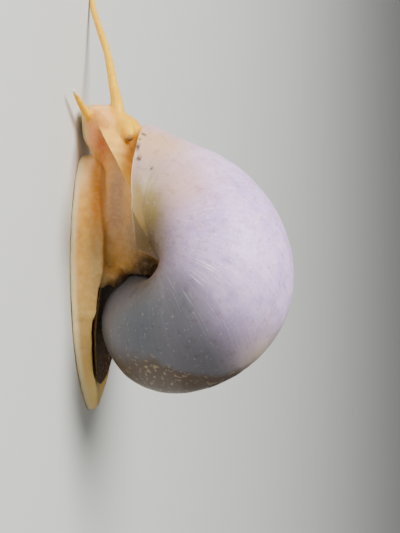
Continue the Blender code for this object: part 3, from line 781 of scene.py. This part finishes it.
def plate_ring(side, reach, turn):
    """Ring on the upper side (1) or lower side (-1), at a share of the way to the edge."""
    c, s = np.cos(turn), np.sin(turn)
    c = np.where(c > 0, np.abs(c) ** PLATE_FRONT, c)
    u = PLATE_NUCLEUS[0] * (1 - reach) + reach * c
    v = PLATE_NUCLEUS[1] * (1 - reach) + reach * s
    frayed = 1.0 + PLATE_FRAY * noise_field(np.stack([c * 3, s * 3, 0 * c], axis=1), 0.35, 21)
    x = PLATE_CENTRE[0] + PLATE_HALF[0] * u * frayed
    y = PLATE_CENTRE[1] + PLATE_HALF[1] * v * frayed
    z = plate_top(x, y) - 0.5 * PLATE_THICK
    z += side * 0.5 * PLATE_THICK * math.sqrt(max(0.0, 1.0 - reach**8))
    if side > 0:
        z += RIDGE_HEIGHT * np.sin(reach * RIDGE_TURNS + 0.4 * np.sin(3 * turn)) * (1 - reach**12)
    return np.stack([x, y, z], axis=1)


def make_operculum():
    """Dished plate with growth ridges round its nucleus and a thin frayed edge."""
    turn = np.linspace(0, 2 * math.pi, PLATE_SIDES, endpoint=False)
    order = [(1, reach) for reach in np.linspace(0.02, 1.0, PLATE_RINGS)]
    order += [(-1, reach) for reach in np.linspace(1.0, 0.02, PLATE_RINGS)]
    vertices = np.vstack([plate_ring(side, reach, turn) for side, reach in order])
    ridge = np.repeat([reach for _, reach in order], PLATE_SIDES)
    rows, sides = len(order), PLATE_SIDES
    faces = []
    for i in range(rows - 1):
        for j in range(sides):
            k = (j + 1) % sides
            faces.append((i * sides + j, i * sides + k, (i + 1) * sides + k, (i + 1) * sides + j))
    faces.append(tuple(range(sides))[::-1])
    faces.append(tuple((rows - 1) * sides + j for j in range(sides)))
    plate = mesh_piece("snail_operculum", vertices, faces)
    store(plate, "reach", ridge)
    shade_smooth(plate)
    return plate


# Eyes

def make_eye(side):
    """Small dull ball, half sunk into its socket."""
    eye = ball(side + "_eyeball", eye_centre(side), (EYE_RADIUS,) * 3)
    shade_smooth(eye)
    return eye


# Materials

class Shader:
    """Small helper that adds and links the nodes of one material."""

    def __init__(self, name):
        self.material = bpy.data.materials.new(name)
        self.material.use_nodes = True
        self.tree = self.material.node_tree
        self.surface = self.tree.nodes["Principled BSDF"]

    def set(self, **values):
        for key, value in values.items():
            self.surface.inputs[key.replace("_", " ")].default_value = value

    def link(self, source, target):
        self.tree.links.new(source, target)

    def add(self, kind, **settings):
        node = self.tree.nodes.new(kind)
        for key, value in settings.items():
            setattr(node, key, value)
        return node

    def attribute(self, name):
        return self.add("ShaderNodeAttribute", attribute_name=name).outputs["Fac"]

    def place(self):
        return self.add("ShaderNodeTexCoord").outputs["Object"]

    def noise(self, size, detail=3.0, vector=None, rough=0.5, stretch=(1, 1, 1)):
        """Noise whose lumps are about the given number of metres across."""
        scale = self.add("ShaderNodeMapping")
        scale.inputs["Scale"].default_value = [v / size for v in stretch]
        self.link(vector if vector is not None else self.place(), scale.inputs["Vector"])
        node = self.add("ShaderNodeTexNoise")
        node.inputs["Scale"].default_value = 1.0
        node.inputs["Detail"].default_value = detail
        node.inputs["Roughness"].default_value = rough
        self.link(scale.outputs["Vector"], node.inputs["Vector"])
        return node.outputs["Fac"]

    def step(self, value, low, high):
        node = self.add("ShaderNodeMapRange", interpolation_type="SMOOTHSTEP")
        node.inputs["From Min"].default_value = low
        node.inputs["From Max"].default_value = high
        self.link(value, node.inputs["Value"])
        return node.outputs["Result"]

    def math(self, operation, a, b):
        node = self.add("ShaderNodeMath", operation=operation)
        for socket, value in zip(node.inputs, (a, b)):
            if isinstance(value, (int, float)):
                socket.default_value = value
            else:
                self.link(value, socket)
        return node.outputs["Value"]

    def scaled(self, value, factor):
        return self.math("MULTIPLY", value, factor)

    def mix(self, share, a, b, mode="MIX"):
        node = self.add("ShaderNodeMix", data_type="RGBA", blend_type=mode)
        sockets = (node.inputs[0], node.inputs[6], node.inputs[7])
        for socket, value in zip(sockets, (share, a, b)):
            if isinstance(value, (int, float)):
                socket.default_value = value
            elif isinstance(value, tuple):
                socket.default_value = (*value, 1.0)
            else:
                self.link(value, socket)
        return node.outputs[2]

    def bump(self, height, strength, distance):
        node = self.add("ShaderNodeBump")
        node.inputs["Strength"].default_value = strength
        node.inputs["Distance"].default_value = distance
        self.link(height, node.inputs["Height"])
        return node.outputs["Normal"]

    def finish(self, color, roughness=None, normal=None):
        self.link(color, self.surface.inputs["Base Color"])
        if roughness is not None:
            self.link(roughness, self.surface.inputs["Roughness"])
        if normal is not None:
            self.link(normal, self.surface.inputs["Normal"])
        return self.material


def skin_material():
    s = Shader("snail_flesh")
    s.set(Subsurface_Weight=0.3, Subsurface_Scale=0.0016, Coat_Weight=0.1, Coat_Roughness=0.2)
    s.set(IOR=1.35, Specular_IOR_Level=0.35)
    s.surface.inputs["Subsurface Radius"].default_value = (1.0, 0.45, 0.2)
    base = s.mix(s.step(s.noise(0.0018, 4.0), 0.35, 0.65), *FLESH_SHADES)
    for name, (color, _) in SKIN_TINTS.items():
        base = s.mix(s.attribute(name), base, color)
    cells = s.step(s.noise(0.0007, 3.0), 0.42, 0.62)
    base = s.mix(s.scaled(cells, 0.08), base, CELL_COLOR)
    base = s.mix(s.attribute("furrow_shade"), base, FURROW_SHADE_COLOR)
    base = s.mix(s.attribute("rim"), base, RIM_COLOR)
    base = s.mix(s.attribute("mouth"), base, MOUTH_COLOR)
    feeler = s.mix(s.step(s.noise(0.0012, 3.0), 0.35, 0.7), *FEELER_SHADES)
    feeler = s.mix(s.attribute("tip_reflection"), feeler, FEELER_TIP_REFLECTION_COLOR)
    base = s.mix(s.attribute("feeler"), base, feeler)
    base = s.mix(s.scaled(s.attribute("root"), 0.45), base, FEELER_ROOT_COLOR)
    base = s.mix(s.scaled(s.attribute("round_eye"), 0.6), base, SOCKET_COLOR)
    specks = s.step(s.noise(0.00028, 1.0), 0.68, 0.75)
    base = s.mix(s.scaled(specks, 0.4), base, SKIN_SPECK_COLOR)
    fine = s.noise(0.00035, 3.0)
    normal = s.bump(fine, 0.5, 0.00014)
    rough = s.math("ADD", s.scaled(fine, 0.2), 0.36)
    return s.finish(base, rough, normal)


def growth_lines(s):
    """Place on the shell as distance along the coil and round it."""
    lines = s.add("ShaderNodeCombineXYZ")
    s.link(s.attribute("growth"), lines.inputs["X"])
    s.link(s.scaled(s.attribute("around"), 6.0), lines.inputs["Y"])
    return lines.outputs["Vector"]


def pearl_color(s):
    """Ground of the shell: clouds, darker blotches and a net of pale veins."""
    base = s.mix(s.step(s.noise(0.009, 3.0), 0.35, 0.65), *PEARL_SHADES)
    blotches = s.step(s.noise(0.0026, 4.0, rough=0.65), 0.42, 0.60)
    base = s.mix(s.scaled(blotches, 0.8), base, BLOTCH_COLOR, "MULTIPLY")
    ridge = s.math("SUBTRACT", s.noise(0.0021, 3.0, rough=0.6), 0.5)
    veins = s.step(s.math("ABSOLUTE", ridge, 0.0), 0.035, 0.0)
    return s.mix(s.scaled(veins, 0.45), base, VEIN_COLOR)


def band_color(s):
    """Painted shade: dark brown of the band round the back, with paler specks."""
    pale = s.step(s.noise(0.0008, 2.0), 0.60, 0.66)
    return s.mix(s.scaled(pale, 0.45), DUSK_SHADE_COLOR, DUSK_SPECK_COLOR)


def shell_material():
    s = Shader("snail_porcelain")
    s.set(Subsurface_Weight=0.25, Subsurface_Scale=0.0018, Coat_Weight=0.16, Coat_Roughness=0.3)
    s.set(IOR=1.45)
    s.surface.inputs["Subsurface Radius"].default_value = (1.0, 0.8, 0.7)
    lines = growth_lines(s)
    streaks = s.noise(1.0, 4.0, lines, 0.55, (1.6, 0.5, 1.0))
    base = s.mix(s.attribute("grey_shade"), pearl_color(s), SHADE_GREY_COLOR)
    for name, (color, _) in SHELL_TINTS.items():
        base = s.mix(s.attribute(name), base, color)
    base = s.mix(s.scaled(s.step(streaks, 0.62, 0.38), 0.5), base, STREAK_COLOR, "MULTIPLY")
    stains = s.step(s.noise(0.0011, 3.0), 0.56, 0.68)
    base = s.mix(s.scaled(stains, 0.6), base, STAIN_COLOR, "MULTIPLY")
    # painted highlights: pale flecks along the growth lines
    glints = s.step(s.noise(1.0, 2.0, lines, 0.5, (3.5, 1.2, 1.0)), 0.60, 0.68)
    base = s.mix(s.math("MULTIPLY", glints, s.scaled(s.attribute("glint"), 0.6)), base, GLINT_COLOR)
    base = s.mix(s.scaled(s.attribute("dusk_shade"), 0.92), base, band_color(s))
    base = s.mix(s.attribute("far_side_rim_light"), base, RIM_LIGHT_COLOR)
    base = s.mix(s.scaled(s.attribute("lip"), 0.8), base, LIP_COLOR)
    specks = s.step(s.noise(0.0005, 1.0), 0.67, 0.72)
    base = s.mix(s.scaled(specks, 0.45), base, SHELL_SPECK_COLOR)
    base = s.mix(s.attribute("dots"), base, DOT_COLOR)
    base = s.mix(s.attribute("inner"), base, INSIDE_COLOR)
    fine = s.noise(1.0, 3.0, lines, 0.6, (4.0, 0.8, 1.0))
    normal = s.bump(fine, 0.3, 0.0001)
    rough = s.math("ADD", s.scaled(streaks, 0.15), 0.38)
    return s.finish(base, rough, normal)


def operculum_material():
    s = Shader("snail_horn")
    s.set(Coat_Weight=0.03, Coat_Roughness=0.4, Roughness=0.68, Specular_IOR_Level=0.3)
    rings = s.add("ShaderNodeTexWave", wave_type="BANDS", bands_direction="X")
    rings.inputs["Scale"].default_value = 14.0
    rings.inputs["Distortion"].default_value = 1.5
    spread = s.add("ShaderNodeCombineXYZ")
    s.link(s.attribute("reach"), spread.inputs["X"])
    s.link(spread.outputs["Vector"], rings.inputs["Vector"])
    grain = s.noise(0.0008, 4.0)
    base = s.mix(rings.outputs["Fac"], *HORN_SHADES)
    base = s.mix(s.scaled(s.step(grain, 0.48, 0.66), 0.6), base, HORN_GRAIN_COLOR)
    pale = s.step(s.noise(0.0006, 2.0), 0.61, 0.67)
    base = s.mix(s.scaled(pale, 0.5), base, HORN_SPECK_COLOR)
    return s.finish(base, normal=s.bump(grain, 0.4, 0.0001))


def eye_material():
    s = Shader("snail_eye")
    s.set(Roughness=0.5, Coat_Weight=0.05, Coat_Roughness=0.4)
    return s.finish(s.mix(s.noise(0.0003, 2.0), *EYE_SHADES))


def floor_material():
    s = Shader("pale_floor")
    s.set(Roughness=0.75)
    return s.finish(s.mix(s.noise(0.08, 2.0), *FLOOR_SHADES))


def dress(piece, material, slot, *nodes):
    piece.data.materials.clear()
    piece.data.materials.append(material)
    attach(piece, "root")
    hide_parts(*nodes)


# Setting

def make_floor():
    """Level floor that curves up far behind the snail."""
    profile = [(FLOOR_NEAR, 0.0), (0.0, 0.0), (-FLOOR_FAR, 0.0)]
    for i in range(1, FLOOR_BEND_STEPS + 1):
        turn = math.radians(90 * i / FLOOR_BEND_STEPS)
        profile.append((-FLOOR_FAR - FLOOR_BEND * math.sin(turn), FLOOR_BEND * (1 - math.cos(turn))))
    profile.append((-FLOOR_FAR - FLOOR_BEND, FLOOR_HEIGHT))
    vertices, faces = [], []
    for y, z in profile:
        for x in (-FLOOR_HALF_WIDTH, FLOOR_HALF_WIDTH):
            vertices.append((x / MM, y / MM, z / MM - FLOOR_DROP))
    for i in range(len(profile) - 1):
        faces.append((2 * i, 2 * i + 1, 2 * i + 3, 2 * i + 2))
    floor = mesh_piece("floor", vertices, faces)
    shade_smooth(floor)
    floor.data.materials.append(floor_material())


def make_camera():
    data = bpy.data.cameras.new("camera")
    camera = bpy.data.objects.new("camera", data)
    bpy.context.scene.collection.objects.link(camera)
    place, target = Vector(CAMERA_PLACE) * MM, Vector(CAMERA_TARGET) * MM
    sight = (target - place).normalized()
    right = sight.cross(Vector((1.0, 0.0, 0.0))).normalized()
    up = right.cross(sight)
    roll = math.radians(CAMERA_ROLL)
    turned_up = up * math.cos(roll) + right * math.sin(roll)
    turned_right = right * math.cos(roll) - up * math.sin(roll)
    rotation = Matrix((turned_right, turned_up, -sight)).transposed().to_4x4()
    camera.matrix_world = Matrix.Translation(place) @ rotation
    focal_pixels = PIXELS_PER_MM * (target - place).length / MM
    data.sensor_width = SENSOR
    data.lens = focal_pixels * SENSOR / max(IMAGE_SIZE)
    data.clip_start, data.clip_end = 0.01, 10.0
    bpy.context.scene.camera = camera


def area_light(name, place, size, power, color):
    data = bpy.data.lights.new(name, "AREA")
    data.shape = "DISK"
    data.size = size
    data.energy = power
    data.color = color
    light = bpy.data.objects.new(name, data)
    bpy.context.scene.collection.objects.link(light)
    light.location = place
    sight = Vector(LIGHT_AIM) - Vector(place)
    light.rotation_euler = sight.to_track_quat("-Z", "Y").to_euler()


def make_lights():
    area_light("key", *KEY_LIGHT)
    area_light("fill", *FILL_LIGHT)
    world = bpy.data.worlds.new("studio")
    world.use_nodes = True
    background = world.node_tree.nodes["Background"]
    background.inputs["Color"].default_value = WORLD_COLOR
    background.inputs["Strength"].default_value = WORLD_STRENGTH
    bpy.context.scene.world = world


make_camera()
make_lights()
make_floor()
dress(make_skin(), skin_material(), "flesh", *TRUNK, *FLAPS, *FEELERS)
dress(make_shell(), shell_material(), "shell", "shell")
dress(make_operculum(), operculum_material(), "operculum", "operculum")
eye_shader = eye_material()
for side in ("left", "right"):
    dress(make_eye(side), eye_shader, "eye", side + "_eye")
